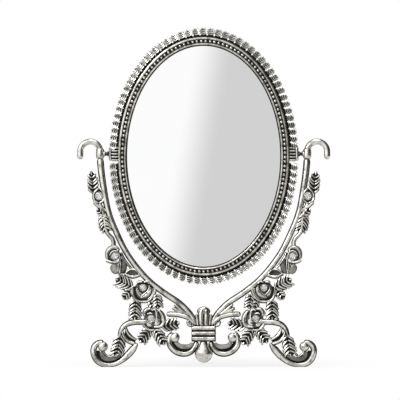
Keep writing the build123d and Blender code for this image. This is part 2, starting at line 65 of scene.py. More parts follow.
def along(values, share):  # value at a share of the way through an evenly spaced list
    place = share * (len(values) - 1)
    low = min(int(place), len(values) - 2)
    return values[low] + (values[low + 1] - values[low]) * (place - low)


def smoothLine(points):  # close places on a smooth line through the drawn points
    points = [Vector((*point, 0)[:3]) for point in points]
    ends = [2 * points[0] - points[1]] + points + [2 * points[-1] - points[-2]]
    places = []
    for a, b, c, d in zip(ends, ends[1:], ends[2:], ends[3:]):
        for step in range(rodForm["fineness"]):
            t = step / rodForm["fineness"]
            bend = (2 * a - 5 * b + 4 * c - d) * t ** 2 + (3 * b - a - 3 * c + d) * t ** 3
            places.append(0.5 * (2 * b + (c - a) * t + bend))
    return places + [points[-1]]


def stationsOn(places, widths, count):  # place, heading, width and end rounding of each station
    lengths = [0]
    for here, there in zip(places, places[1:]):
        lengths.append(lengths[-1] + (there - here).length)
    total = lengths[-1]
    first, last = min(widths[0], total) / 2, min(widths[-1], total) / 2
    inner = total - first - last
    stops = [(share * first, share) for share in rodForm["ends"]]
    stops += [(first + inner * step / (count - 1), 1) for step in range(count)]
    stops += [(total - share * last, share) for share in reversed(rodForm["ends"])]
    found = []
    for reach, share in stops:
        index = next(i for i in range(1, len(lengths)) if lengths[i] >= reach - 1e-6)
        part = (reach - lengths[index - 1]) / (lengths[index] - lengths[index - 1])
        place = places[index - 1].lerp(places[index], part)
        heading = (places[min(index + 1, len(places) - 1)] - places[max(index - 2, 0)]).normalized()
        found.append((place, heading, along(widths, reach / total), math.sqrt(1 - (1 - share) ** 2)))
    return found


def joinRings(bm, rings, closed=False):  # skin over a row of rings, with a cap at each end
    edges = [list(dict.fromkeys(edge for vert in ring for edge in vert.link_edges)) for ring in rings]
    for here, there in zip(edges, edges[1:] + (edges[:1] if closed else [])):
        bmesh.ops.bridge_loops(bm, edges=here + there)
    if not closed:
        bmesh.ops.edgeloop_fill(bm, edges=edges[0])
        bmesh.ops.edgeloop_fill(bm, edges=edges[-1])


def newForm():  # empty form whose points carry the blackening: patina in the recesses and painted shade on the sides of strands
    bm = bmesh.new()
    bm.verts.layers.float.new("patinaAndShade")
    return bm


def addForm(bm, form, places=(Matrix(),)):  # small forms are joined here, once for each place
    mesh = bpy.data.meshes.new("form")
    form.to_mesh(mesh)
    form.free()
    for place in places:
        copy = mesh.copy()
        copy.transform(place)
        bm.from_mesh(copy)
        bpy.data.meshes.remove(copy)
    bpy.data.meshes.remove(mesh)


def strand(bm, points, widths, rise, back=backDepth, stations=6, sides=8, dark=0.0, both=False,
           flankShade=1.0, skirt=0.6):
    # half-round rod with rounded ends; painted shade darkens its sides, and its skirt is painted black for patina
    # and shade at its foot; both makes it as high at the back
    form = newForm()
    patinaAndShade = form.verts.layers.float["patinaAndShade"]
    rises = rise if isinstance(rise, (list, tuple)) else (rise, rise)
    line = stationsOn(smoothLine(points), widths, stations)
    rings = []
    for index, (place, heading, width, rounding) in enumerate(line):
        across = Vector((-heading.y, heading.x, 0)).normalized()
        crest = along(rises, index / (len(line) - 1))
        ring = bmesh.ops.create_circle(form, segments=sides, radius=1)["verts"]
        dome = min(abs(crest), rodForm["steepest"] * width) if crest > 0 and not both else crest
        for vert in ring:
            c, s = vert.co.x, vert.co.y
            if s > -0.01 or both:
                spread = c
                height = place.z + (crest - dome + dome * s) * rounding
                # painted shade: the sides darken as they fall away from the crest
                vert[patinaAndShade] = max(dark, flankShade * (1 - rodForm["sideShadeFall"] * abs(s)))
            else:
                spread = math.copysign(min(1, rodForm["skirtSpread"] * abs(c)) + 2 * skirt / width, c)
                height = -back
                # the skirt is painted black: patina where it meets other forms, painted shade along the strand's
                # edge
                vert[patinaAndShade] = 1
            flat = place + across * spread * rounding * width / 2
            vert.co = Vector((flat.x, flat.y, height))
        rings.append(ring)
    joinRings(form, rings)
    addForm(bm, form)


def turnedForm(bm, profile, place, sides=24, flatten=1.0, lowest=-backDepth, dark=0.0):
    # round form from (radius, height) steps, set by a matrix and cut flat at the back
    form = newForm()
    patinaAndShade = form.verts.layers.float["patinaAndShade"]
    rings = []
    for radius, height in profile:
        ring = bmesh.ops.create_circle(form, segments=sides, radius=radius)["verts"]
        for vert in ring:
            vert.co = place @ Vector((vert.co.x, flatten * vert.co.y, height))
            vert.co.z = max(vert.co.z, lowest)
            vert[patinaAndShade] = dark
        rings.append(ring)
    joinRings(form, rings)
    addForm(bm, form)


def mirrorCopy(bm):
    other = bm.copy()
    bmesh.ops.scale(other, vec=(-1, 1, 1), verts=other.verts)
    bmesh.ops.reverse_faces(other, faces=other.faces)
    return other


def finishPiece(name, bm, place, material, body, nodes=(), sharp=38):
    bmesh.ops.transform(bm, matrix=place, verts=bm.verts)
    for vert in bm.verts:
        vert.co.z = max(vert.co.z, 0)
    bmesh.ops.recalc_face_normals(bm, faces=bm.faces)
    mesh = bpy.data.meshes.new(name)
    bm.to_mesh(mesh)
    bm.free()
    mesh.shade_smooth()
    mesh.set_sharp_from_angle(angle=math.radians(sharp))
    mesh.materials.append(material)
    piece = bpy.data.objects.new(name, mesh)
    bpy.context.scene.collection.objects.link(piece)
    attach(piece, body)
    if nodes:
        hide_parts(*nodes)
    return piece


# Shader helpers


class Value:  # a socket, with sums that add Math nodes
    def __init__(self, build, socket):
        self.build = build
        self.socket = socket

    def sum(self, operation, first, second):
        return self.build.add("ShaderNodeMath", {"operation": operation}, {0: first, 1: second})[0]

    def __add__(self, other):
        return self.sum("ADD", self, other)

    def __sub__(self, other):
        return self.sum("SUBTRACT", self, other)

    def __rsub__(self, other):
        return self.sum("SUBTRACT", other, self)

    def __mul__(self, other):
        return self.sum("MULTIPLY", self, other)

    __radd__ = __add__
    __rmul__ = __mul__


class Build:  # the nodes of one material or world
    def __init__(self, owner):
        owner.use_nodes = True
        self.tree = owner.node_tree
        self.tree.nodes.clear()

    def add(self, kind, settings=None, sockets=None):
        node = self.tree.nodes.new(kind)
        for name, value in (settings or {}).items():
            if name == "stops":
                for index, (place, colour) in enumerate(value):
                    stop = node.color_ramp.elements
                    stop = stop[index] if index < len(stop) else stop.new(place)
                    stop.position, stop.color = place, colour
            else:
                setattr(node, name, value)
        for name, value in (sockets or {}).items():
            if isinstance(value, Value):
                self.tree.links.new(value.socket, node.inputs[name])
            else:
                node.inputs[name].default_value = value
        return [Value(self, socket) for socket in node.outputs]

    def steps(self, value, low, high):  # smooth 0 to 1 between two levels
        return self.add("ShaderNodeMapRange", {"interpolation_type": "SMOOTHSTEP"},
                        {"Value": value, "From Min": low, "From Max": high})[0]

    def mix(self, share, first, second):
        return self.add("ShaderNodeMix", {"data_type": "RGBA"}, {0: share, 6: first, 7: second})[2]

    def noise(self, scale, detail=3, roughness=0.5):
        place = self.add("ShaderNodeTexCoord")[3]
        return self.add("ShaderNodeTexNoise", {}, {
            "Vector": place, "Scale": scale, "Detail": detail, "Roughness": roughness})[0]


def newMaterial(name):
    material = bpy.data.materials.new(name)
    return material, Build(material)


def surface(build, sockets):
    shader = build.add("ShaderNodeBsdfPrincipled", {}, sockets)[0]
    build.add("ShaderNodeOutputMaterial", {}, {"Surface": shader})


pewter = {
    "bright": (0.66, 0.645, 0.60, 1), "dull": (0.22, 0.208, 0.185, 1), "black": (0.012, 0.011, 0.010, 1),
    "recessDistance": 0.0016, "recessFrom": 0.4, "recessTo": 0.82, "patinaShadeFrom": 0.25, "patinaShadeTo": 0.95,
    "cloudScale": 180, "grainScale": 1400, "cloudWear": 0.16, "grainWear": 0.3, "cloudShare": 0.6,
    "dullFrom": 0.36, "brightFrom": 0.56, "shine": 0.21, "matt": 0.6, "blackGloss": 0.12,
    "bump": {"Strength": 0.12, "Distance": 0.0004},
    "backFrom": 0.85, "backTo": 0.97, "backClean": 0.8, "metal": 0.96, "metalLeast": 0.02, "grainGloss": 0.1,
}


def pewterMaterial(name, plainBack):
    # worn bright crests over patina-blackened recesses, with painted shade from the vertex darkness on the sides
    # and edges of strands; the stand's flat back is only dull
    material, build = newMaterial(name)
    exposed = build.add("ShaderNodeAmbientOcclusion", {"samples": 8, "only_local": True},
                        {"Distance": pewter["recessDistance"]})[1]
    patinaAndShade = build.add("ShaderNodeAttribute", {"attribute_name": "patinaAndShade"})[2]
    cloud = build.noise(pewter["cloudScale"], 4)
    grain = build.noise(pewter["grainScale"], 3, 0.6)
    rubbed = exposed + (cloud - 0.5) * pewter["cloudWear"]
    worn = build.steps(rubbed, pewter["recessFrom"], pewter["recessTo"])
    # mask of patina in the hollows and painted shade on the strands' sides and edges
    patinaAndShadeMask = build.steps(patinaAndShade + (grain - 0.5) * pewter["grainWear"], pewter["patinaShadeFrom"], pewter["patinaShadeTo"])
    bareAndUnshaded = worn * (1 - patinaAndShadeMask)
    if plainBack:
        facing = build.add("ShaderNodeSeparateXYZ", {}, {0: build.add("ShaderNodeTexCoord")[1]})[1]
        back = build.steps(facing, pewter["backFrom"], pewter["backTo"]) * pewter["backClean"]
        bareAndUnshaded = bareAndUnshaded * (1 - back) + back
    height = cloud * pewter["cloudShare"] + grain * (1 - pewter["cloudShare"])
    polish = build.steps(height, pewter["dullFrom"], pewter["brightFrom"])
    metal = build.mix(polish, pewter["dull"], pewter["bright"])
    colour = build.mix(bareAndUnshaded, pewter["black"], metal)
    gloss = bareAndUnshaded * (pewter["shine"] - pewter["matt"]) + pewter["matt"]
    bump = build.add("ShaderNodeBump", {}, {**pewter["bump"], "Height": height})[0]
    surface(build, {
        "Base Color": colour,
        "Metallic": bareAndUnshaded * pewter["metal"] + pewter["metalLeast"],
        "Specular IOR Level": pewter["blackGloss"],
        "Roughness": gloss + (grain - 0.5) * pewter["grainGloss"],
        "Normal": bump,
    })
    return material


silver = {
    "cool": (0.955, 0.965, 0.96, 1), "warm": (0.97, 0.975, 0.97, 1), "hazeScale": 35, "bloom": 0.012,
    "clear": 0.004,
}


def mirrorMaterial():
    # silvered glass with the faintest bloom
    material, build = newMaterial("silveredGlass")
    haze = build.noise(silver["hazeScale"])
    surface(build, {
        "Base Color": build.mix(haze, silver["cool"], silver["warm"]),
        "Metallic": 1.0,
        "Roughness": haze * silver["bloom"] + silver["clear"],
    })
    return material


turnedSteel = {
    "black": (0.03, 0.03, 0.03, 1), "worn": (0.16, 0.155, 0.15, 1), "ringScale": 900, "wearScale": 420,
    "wornFrom": 0.4, "wornTo": 0.75, "wearMatt": 0.25, "matt": 0.25,
    "bump": {"Strength": 0.2, "Distance": 0.0001},
}


def steelMaterial():
    # blackened turned steel with fine rings round the pin's axis
    material, build = newMaterial("blackenedSteel")
    place = build.add("ShaderNodeTexCoord")[3]
    rings = build.add("ShaderNodeTexWave", {"bands_direction": "X"}, {
        "Vector": place, "Scale": turnedSteel["ringScale"], "Distortion": 0.6, "Detail": 2})[1]
    wear = build.noise(turnedSteel["wearScale"])
    worn = build.steps(wear, turnedSteel["wornFrom"], turnedSteel["wornTo"])
    bump = build.add("ShaderNodeBump", {}, {**turnedSteel["bump"], "Height": rings})[0]
    surface(build, {
        "Base Color": build.mix(worn, turnedSteel["black"], turnedSteel["worn"]),
        "Metallic": 0.9,
        "Roughness": wear * turnedSteel["wearMatt"] + turnedSteel["matt"],
        "Normal": bump,
    })
    return material


feltLook = {
    "deep": (0.006, 0.006, 0.007, 1), "fibre": (0.03, 0.03, 0.032, 1), "fibreScale": 2600,
    "bump": {"Strength": 0.5, "Distance": 0.0003},
}


def feltMaterial():
    material, build = newMaterial("blackFelt")
    fibre = build.noise(feltLook["fibreScale"], 4, 0.7)
    bump = build.add("ShaderNodeBump", {}, {**feltLook["bump"], "Height": fibre})[0]
    surface(build, {
        "Base Color": build.mix(fibre, feltLook["deep"], feltLook["fibre"]),
        "Roughness": 0.95,
        "Normal": bump,
    })
    return material


clearStone = {
    "cool": (0.93, 0.94, 0.97, 1), "clear": (0.99, 0.99, 1.0, 1), "cloudScale": 300, "bloom": 0.02,
    "polish": 0.01, "bending": 1.6, "see": 0.7,
}


def crystalMaterial():
    # clear cut stone; its facets are geometry
    material, build = newMaterial("cutCrystal")
    cloud = build.noise(clearStone["cloudScale"], 2)
    surface(build, {
        "Base Color": build.mix(cloud, clearStone["cool"], clearStone["clear"]),
        "Roughness": cloud * clearStone["bloom"] + clearStone["polish"],
        "IOR": clearStone["bending"],
        "Transmission Weight": clearStone["see"],
    })
    return material


pewterCast = pewterMaterial("antiquePewter", False)
pewterStand = pewterMaterial("antiquePewterStand", True)
silvered = mirrorMaterial()
steel = steelMaterial()
felt = feltMaterial()
crystal = crystalMaterial()
print("materials ready")

# Mirror head: cast ring with beaded channel, leaf border and pivot lugs

head = {  # sections are steps of distance outside the visible glass and height above its middle
    "glassWidth": 69.0, "glassHeight": 99.5, "segments": 192,
    "innerLip": [(0, 4.05), (0.6, 4.3), (1.15, 5.2), (1.35, 6.0), (1.8, 6.45), (2.3, 6.4), (2.7, 5.9),
                 (2.95, 5.0)],
    # darkness of each profile step: patina where the lips meet the glass and channel, painted shade down their
    # sides
    "innerDark": [1, 1, 0.9, 0, 0, 0, 0.2, 1],
    "channel": [(3.15, 4.72), (5.6, 4.68)],
    "outerLip": [(5.85, 5.2), (6.05, 6.0), (6.5, 6.45), (7.1, 6.5), (7.7, 6.2), (8.05, 5.2), (8.4, 2.6)],
    "outerDark": [1, 0.2, 0, 0, 0, 0.4, 1],
    "cavity": [(6.25, -4.9), (6.25, -0.97), (2.6, -0.93), (2.62, 4.0)],
    "rearFoot": [(2.9, -4.72), (5.9, -4.68), (6.1, -4.6), (6.1, -1.02), (2.6, -0.98), (2.62, -4.0)],
    "beadCount": 141, "beadSize": 1.3, "beadFlatten": 0.6, "beadAt": 4.4, "beadHeight": 5.0,
}
border = {  # arches are steps of distance from the tip and half width
    "count": 94, "root": 7.9, "tip": 8.3, "arches": [(0.7, 1.6), (2.35, 2.8), (4.0, 3.3), (5.65, 3.4)],
    "archTurn": 37, "archDepth": 0.9, "archHeight": 2.0, "archWidths": [1.0, 1.15, 1.15, 1.15, 1.0],
    "archRise": 0.6, "plate": [(0, 1.6), (0, 3.4), (0, 7.9)], "plateWidths": [4.0, 4.4, 4.0, 2.2],
    "plateRise": 0.8, "plateDark": 0.8, "foot": [(0, -2), (0, 0), (0, 3.6)],
    "footWidths": [6.8, 6.8, 6.6, 5.0], "footRise": 0.5,
}
lugForm = {
    "height": 12.5, "gap": 0.2, "block": (75.6, 84.6), "blockRise": 1.5, "bar": 84.2, "barWidth": 1.9,
    "barHeight": 1.6, "barRise": 1.3, "ribs": (76.6, 83.4), "ribCount": 5, "ribWidth": 1.35,
    "ribHeight": 1.4, "ribRise": 0.9, "ribInset": 0.8, "flankShade": 0.2,
}


def ovalRings(bm, profile, dark):
    form = newForm()
    patinaAndShade = form.verts.layers.float["patinaAndShade"]
    rings = []
    for (distance, height), mark in zip(profile, dark):
        ring = bmesh.ops.create_circle(form, segments=head["segments"], radius=1)["verts"]
        for vert in ring:
            vert.co.x *= head["glassWidth"] + distance
            vert.co.y *= head["glassHeight"] + distance
            vert.co.z = height
            vert[patinaAndShade] = mark
        rings.append(ring)
    joinRings(form, rings, closed=True)
    addForm(bm, form)


def ovalStations(distance, count):  # evenly spaced places and outward headings on the oval
    a, b = head["glassWidth"] + distance, head["glassHeight"] + distance
    fine = 2880
    turns = [2 * math.pi * step / fine - math.pi / 2 for step in range(fine + 1)]
    dots = [Vector((a * math.cos(turn), b * math.sin(turn), 0)) for turn in turns]
    lengths = [0]
    for here, there in zip(dots, dots[1:]):
        lengths.append(lengths[-1] + (there - here).length)
    found, index = [], 0
    for step in range(count):
        while lengths[index] < lengths[-1] * step / count:
            index += 1
        dot = dots[index]
        found.append((dot, Vector((dot.x / a ** 2, dot.y / b ** 2, 0)).normalized()))
    return found


def borderLeaf():
    # scale of nested arches round the tip, over a dark plate that is widest at the root
    bm = newForm()
    strand(bm, border["plate"], border["plateWidths"], border["plateRise"], back=0, stations=3, sides=6,
           dark=border["plateDark"])
    strand(bm, border["foot"], border["footWidths"], border["footRise"], back=0, stations=2, sides=6,
           dark=1, skirt=0)
    turns = [math.radians(border["archTurn"] * step) for step in (-2, -1, 0, 1, 2)]
    for inset, half in border["arches"]:
        wide = half / math.sin(turns[-1])
        depth = border["archDepth"] * wide
        top = border["tip"] - inset
        arch = [(wide * math.sin(turn), top + depth * (1 - math.cos(turn)), border["archHeight"])
                for turn in turns]
        strand(bm, arch, border["archWidths"], border["archRise"], back=0, stations=5, flankShade=0, skirt=0.1)
    return bm


def bead():
    bm = newForm()
    bmesh.ops.create_icosphere(bm, subdivisions=2, radius=head["beadSize"])
    bmesh.ops.scale(bm, vec=(1, 1, head["beadFlatten"]), verts=bm.verts)
    return bm


def lug():
    # ribbed block with a bar at its end, drawn on the front face of the right side
    bm = newForm()
    tall, inset, flankShade = lugForm["height"], lugForm["ribInset"], lugForm["flankShade"]
    low, high = pivotAboveCentre - tall / 2, pivotAboveCentre + tall / 2
    strand(bm, [(x, pivotAboveCentre) for x in lugForm["block"]], [tall] * 2, lugForm["blockRise"],
           back=0, stations=3, dark=1)
    # the bar and ribs carry light painted shade on their sides
    strand(bm, [(lugForm["bar"], y, lugForm["barHeight"]) for y in (low, high)],
           [lugForm["barWidth"]] * 2, lugForm["barRise"], back=0, stations=4, flankShade=flankShade)
    for index in range(lugForm["ribCount"]):
        y = low + inset + index * (tall - 2 * inset) / (lugForm["ribCount"] - 1)
        strand(bm, [(x, y, lugForm["ribHeight"]) for x in lugForm["ribs"]], [lugForm["ribWidth"]] * 2,
               lugForm["ribRise"], back=0, stations=3, flankShade=flankShade)
    return bm


def frameCasting():
    bm = newForm()
    inner, outer, shade = head["innerLip"], head["outerLip"], head["outerDark"]
    rear = [(distance, -height) for distance, height in reversed(outer)]
    profile = inner + head["channel"] + outer + rear + head["cavity"]
    channelDark, cavityDark = [1] * len(head["channel"]), [1] * len(head["cavity"])
    ovalRings(bm, profile, head["innerDark"] + channelDark + shade + shade[::-1] + cavityDark)
    places = []
    for place, outward in ovalStations(border["root"], border["count"]):
        if abs(place.y - pivotAboveCentre) >= lugForm["height"] / 2 + lugForm["gap"]:
            turn = math.atan2(-outward.x, outward.y)
            places.append(Matrix.Translation(place) @ Matrix.Rotation(turn, 4, "Z"))
    behind, across = Matrix.Diagonal((1, 1, -1, 1)), Matrix.Diagonal((-1, 1, 1, 1))
    addForm(bm, borderLeaf(), places + [place @ behind for place in places])
    addForm(bm, lug(), [Matrix(), behind, across, across @ behind])
    lift = Matrix.Translation((0, 0, head["beadHeight"]))
    beads = [lift @ Matrix.Translation(place)
             for place, outward in ovalStations(head["beadAt"], head["beadCount"])]
    addForm(bm, bead(), beads)
    finishPiece("frame_casting", bm, headPlace, pewterCast, "head", ["mirror_frame"])

    bm = newForm()
    profile = [(distance, -height) for distance, height in inner] + head["rearFoot"]
    ovalRings(bm, profile, head["innerDark"] + [1] * len(head["rearFoot"]))
    addForm(bm, bead(), [behind @ place for place in beads])
    finishPiece("rear_ring_casting", bm, headPlace, pewterCast, "head", ["rear_ring"])


frameCasting()
print("mirror head cast")

# Stand: arms with rods, vine leaves, roses and buds

stand = {
    "pivotReach": 93.5, "reachDrawn": 93.65, "pivotDrawn": 192.0, "bandTop": 37.0,
    "bandBottom": 22.8, "bandHalf": 11.2,
}
scroll = {
    "footBall": (90.4, 18.3), "footRadius": 4.5, "claspBall": (25.8, 26.4), "claspRadius": 4.4,
    "rise": 3.3, "turns": (0.3, 0.6, 0.9, 1.2, 1.45),
}
rods = {
    "main": {
        "points": [(93.65, 188.3), (91.7, 170), (86.4, 141), (78.3, 120), (67.9, 100), (52.5, 80.5),
                   (37, 67.5), (22, 57.5), (13, 48.7), (9.2, 43), (7.7, 37.2)],
        "widths": [6.4, 5.9, 5.5, 5.4, 5.6, 5.6, 5.0], "stations": 40,
    },
    "branch": {
        "points": [(33.5, 47.4), (25, 47.2), (16, 45.2), (11, 42), (8, 38.2)],
        "widths": [4.9, 4.5], "stations": 14,
    },
    "arch": {
        "points": [(50, 40.6), (63, 40.2), (70, 38), (74, 33.5), (76, 27)],
        "widths": [5.5, 5.5, 3.4], "stations": 16,
    },
    "leg": {
        "points": [(59.5, 21.5), (63.2, 16.6), (67.5, 11.6), (71.8, 7.4), (76.5, 4.2), (81, 2.5), (85.5, 1.9),
                   (89.8, 2.3), (94.2, 4.6), (97.4, 8.8), (98.9, 14.6), (97.4, 19.4), (93.3, 21.8), (89.6, 21.2)],
        "widths": [2.8, 6.6, 6.6, 5.2, 4.6, 4.6, 5.6, 6.2, 5.8, 5.6, 5.6], "stations": 40,
    },
}
rodLook = {"rise": 2.3, "shadeBed": -1.3, "edge": 1.2}  # bright crest over a dark bed that shows at its edges as a painted shade outline
details = {  # points, widths, rise and darkness of the lesser strands
    "footGroove": ([(73, 10.4), (78.5, 6.4), (85, 4.8), (91, 6.0), (94.4, 10.6), (95, 15)],
                   [2.6, 3.0, 3.0, 2.6], -0.9, 1),
    "footWeb": ([(73.5, 11.8), (79, 8.4), (85.5, 7.0), (90.4, 9.0), (92, 14.0)],
                [2.8, 3.6, 4.0, 3.4], 0.2, 0.72),
    "footEdge": ([(75.4, 12.0), (80, 9.6), (84.4, 9.2), (88.4, 11.4), (90, 14.2)],
                 [0.7, 0.9, 0.9, 0.8], 0.9, 0),
    "fingerHigh": ([(13.6, 46.8), (19.6, 50.4), (26.2, 56.9)], [2.0, 3.4, 3.0, 1.6], 1.3, 0),
    "fingerMiddle": ([(16, 47), (22, 50), (28.2, 53.4)], [1.8, 2.6, 2.4, 1.4], 1.0, 0),
    "fingerLow": ([(18, 47), (22.4, 48.8), (26.6, 50.3)], [1.6, 2.2, 1.8, 1.2], 0.7, 0),
    "curl": ([(10.4, 37), (13.2, 38.2), (14.2, 40.6), (12.6, 42.2)], [1.4, 2.2, 1.8, 1.0], 1.0, 0),
    "crescentIn": ([(70, 35.6), (68.4, 31), (65.4, 27.4), (60.4, 24.2)], [0.9, 2.7, 1.0], 1.9, 0),
    "crescentOut": ([(73.2, 32), (71.2, 26.8), (67.6, 23), (61, 20.6)], [1.4, 2.6, 2.6], 1.9, 0),
    "crescentHollow": ([(69.4, 33), (69.2, 29.4), (66, 25.4), (61.5, 22.6)], [1.0, 3.4, 2.2], -1.0, 1),
    "stem": ([(94.5, 148), (90, 138), (89, 128), (87.4, 121), (83.6, 117.2), (81.2, 113.4), (81.4, 107)],
             [2.4, 2.8, 2.8, 2.6, 2.6, 2.8, 3.0], 1.2, 0),
    "stalk": ([(74.6, 103.2), (72.2, 98), (68.4, 92.4), (64.6, 88.2)], [1.0, 1.3, 1.3, 1.0], 1.0, 0),
    "sepal": ([(75.8, 83.5), (74.8, 92), (75.6, 99), (78, 106)], [1.6, 1.4, 1.2], 2.2, 0),
    "sepalLeaf": ([(73.6, 84), (71.9, 91), (72.4, 98)], [2.6, 5.0, 4.2, 1.6], 1.2, 0.75),
    "lensTop": ([(70.5, 84.2), (66.5, 87.4), (61.5, 87.2), (57.2, 83.2)], [1.0, 1.6, 1.2], 1.9, 0),
    "lensLow": ([(71.5, 84), (66.5, 81.4), (62, 81.2), (57.2, 82.8)], [1.4, 2.4, 1.6], 1.9, 0),
    "lensHollow": ([(70, 84), (66, 84.3), (62, 84.2), (58.6, 83.2)], [1.8, 4.8, 4.4, 1.4], -0.8, 0.8),
}
leafForm = {
    "pitch": 3.1, "barb": 1.75, "barbRise": 0.95, "filled": 0.86, "plateDrop": 0.9, "plateShort": 0.06,
    "plateWidths": [0.6, 0.9, 0.92, 0.74, 0.3], "rootWidth": 0.86, "rootRun": 0.2, "tipLoss": 0.55,
    "barbThin": 0.2, "barbLine": [(-0.04, 0.02, 0.1), (0.34, 0.58, 0.35), (0.85, 1.0, 0)],  # lean, spread, lift
    "barbWidths": [0.8, 1, 1, 0.9], "flankShade": 0.3, "skirt": 0.35, "taperRun": 0.6, "endFrom": 0.84,
}
vineLeaves = (  # base, tip, width, bend, lift, place where it starts to taper
    ((99.8, 157), (101.8, 176.4), 10.0, 0.6, 0.2, 0.4),
    ((89, 134.5), (96.4, 142.4), 6.4, 0, 0.6, 0.4),
    ((90.6, 137), (86.4, 120), 11.2, 0.8, 0.2, 0.5),
    ((64.6, 71.6), (79.6, 79.4), 12.6, 0, 0.3, 0.6),
    ((65.6, 69), (72.6, 60.8), 8.4, 0, 0.1, 0.4),
    ((61.4, 59.6), (61.8, 41.6), 11.8, 0, 0.0, 0.8),
    ((42.2, 65), (41, 52), 9.8, 0, 0.0, 0.8),
    ((48, 58.6), (45.4, 52.6), 7.0, 0, -0.2, 0.5),
    ((48.8, 34.0), (57.6, 21.6), 11.0, 0, 0.0, 0.6),
    ((43.2, 33.0), (34.8, 19.8), 11.0, 0, 0.0, 0.6),
    ((37, 36.2), (21.4, 39.8), 11.4, 0, 0.0, 0.5),
    ((74.8, 27.4), (78.6, 8.4), 12.4, 0, 0.2, 0.8),
)
petalForm = {"widen": 1.25, "darkest": 0.5, "heart": [(1, -0.4), (0.6, 0.7), (0.2, 1.2)], "heartDark": 0.8}
cups = {  # radius inside a stone's rim and the rim's height
    "rose": (2.7, 2.0), "bud": (3.1, 1.2), "foot": 0.9, "wall": 0.55, "lip": 0.1, "sunk": 0.5,
    "bowl": (0.5, 0.9), "dark": 0.35,
}
roses = (  # petals and hollows as points, widths, rise and darkness
    {"place": (53.7, 67.9), "radius": 9.5, "stone": (54.4, 71.0), "petals": (
        ([(64.2, 72.9), (64.0, 68.1), (63.2, 64.3), (61.5, 61.0), (58.6, 59.1), (54.8, 58.7), (50.9, 59.1),
          (47.5, 61.3), (45.4, 64.6), (43.8, 68.9), (43.6, 70.6), (45.0, 72.6)],
         [1.1, 1.6, 1.7, 1.6, 1.4, 1.3, 1.4, 1.6, 1.8, 1.8, 1.1], 1.7, 0),
        ([(62.2, 72.5), (61.8, 68), (60.8, 64.3), (58.6, 61.5), (55, 60.5), (50.6, 61.2), (47.6, 64.4),
          (46.6, 68), (46.4, 72)], [1.6, 2.4, 2.6, 2.2, 1.8, 1.8, 1.8, 1.8, 1.2], 0.3, 1),
        ([(60.2, 71.5), (59.6, 68.3), (58.4, 65.6), (56.2, 63.2)], [1.2, 2.4, 2.8, 1.6], 1.7, 0.1),
        ([(59.8, 71.6), (58.5, 68.1), (56.4, 65.9), (54.6, 64.4)], [0.9, 1.1, 1.1, 0.8], 2.7, 0),
        ([(57.0, 62.2), (53.6, 63.7), (50.9, 65.2), (48.9, 68.2), (48.0, 71.8)], [1.0, 2.8, 4.0, 3.2, 1.4], 2.5, 0),
        ([(56.4, 62.9), (52.8, 66.2), (50.4, 68.2), (49.0, 71.4), (48.9, 73.4)], [0.8, 1.1, 1.1, 0.9], 3.2, 0),
        ([(50.6, 60.4), (47.4, 63.3), (45.7, 67.0), (45.4, 71)], [0.8, 1.1, 1.1, 0.8], 1.3, 0.3),
        ([(53.8, 75.6), (51.8, 76.8), (49.6, 76.0), (48.7, 74.2)], [0.9, 1.4, 1.3, 0.9], 2.6, 0),
        ([(60.2, 75.4), (57.8, 76.5), (55.0, 76.2)], [1.0, 1.8, 1.1], 2.3, 0),
        ([(59.4, 73.9), (57.5, 74.9), (52.5, 74.9), (50.4, 73.4)], [1.2, 1.7, 1.6, 1.2], 0.6, 1),
    )},
    {"place": (44.9, 42.6), "radius": 9.0, "stone": (46.9, 43.3), "petals": (
        ([(55.4, 42.9), (54.3, 39.6), (52.6, 36.4), (50.3, 34.0), (46.8, 32.9), (43.8, 33.8)],
         [1.1, 1.7, 1.8, 1.8, 1.7, 1.2], 1.7, 0),
        ([(53.4, 42.4), (52.3, 38.8), (49.7, 35.8), (46, 34.5)], [1.2, 2.4, 2.4, 1.2], 0.2, 1),
        ([(51.6, 41), (49.2, 38.3), (46.2, 37.4)], [2.0, 3.8, 2.6], 1.5, 0.3),
        ([(52.0, 42.8), (49.6, 40.2), (46.4, 39.4)], [0.8, 1.1, 0.9], 2.4, 0),
        ([(53.0, 45.4), (53.1, 49.2), (51.1, 51.7), (47.4, 52.3)], [1.3, 2.4, 2.4, 1.4], 1.5, 0.1),
        ([(51.2, 46.2), (50.8, 49.0), (48.6, 50.0), (45.4, 49.6)], [1.2, 1.9, 1.9, 1.2], 0.4, 1),
        ([(51.0, 47.4), (48.4, 48.1), (45.4, 47.4)], [1.0, 1.5, 1.1], 2.5, 0),
        ([(47.0, 50.5), (44.9, 51.5), (42.9, 50.6), (42.2, 47.2), (42.4, 42.5), (43.4, 39.6)],
         [1.0, 1.6, 1.7, 1.8, 2.2, 2.4], 2.9, 0),
        ([(44.6, 37.8), (42.2, 39.0), (40.9, 43.4)], [3.2, 4.2, 2.2], 2.3, 0),
        ([(40.4, 49.4), (38.9, 45.4), (38.8, 41.2), (40.4, 37.8)], [1.0, 1.7, 1.7, 1.2], 0.4, 1),
        ([(38.8, 48), (37.5, 44.6), (37.5, 41)], [0.8, 1.0, 0.8], 1.3, 0.3),
        ([(40.7, 51.1), (38.2, 48.6), (36.2, 45.0), (36.2, 40.2), (37.9, 37.2), (41.4, 36.0), (45.0, 36.0)],
         [1.6, 2.4, 2.5, 2.4, 2.2, 1.9, 1.2], 2.0, 0),
    )},
)
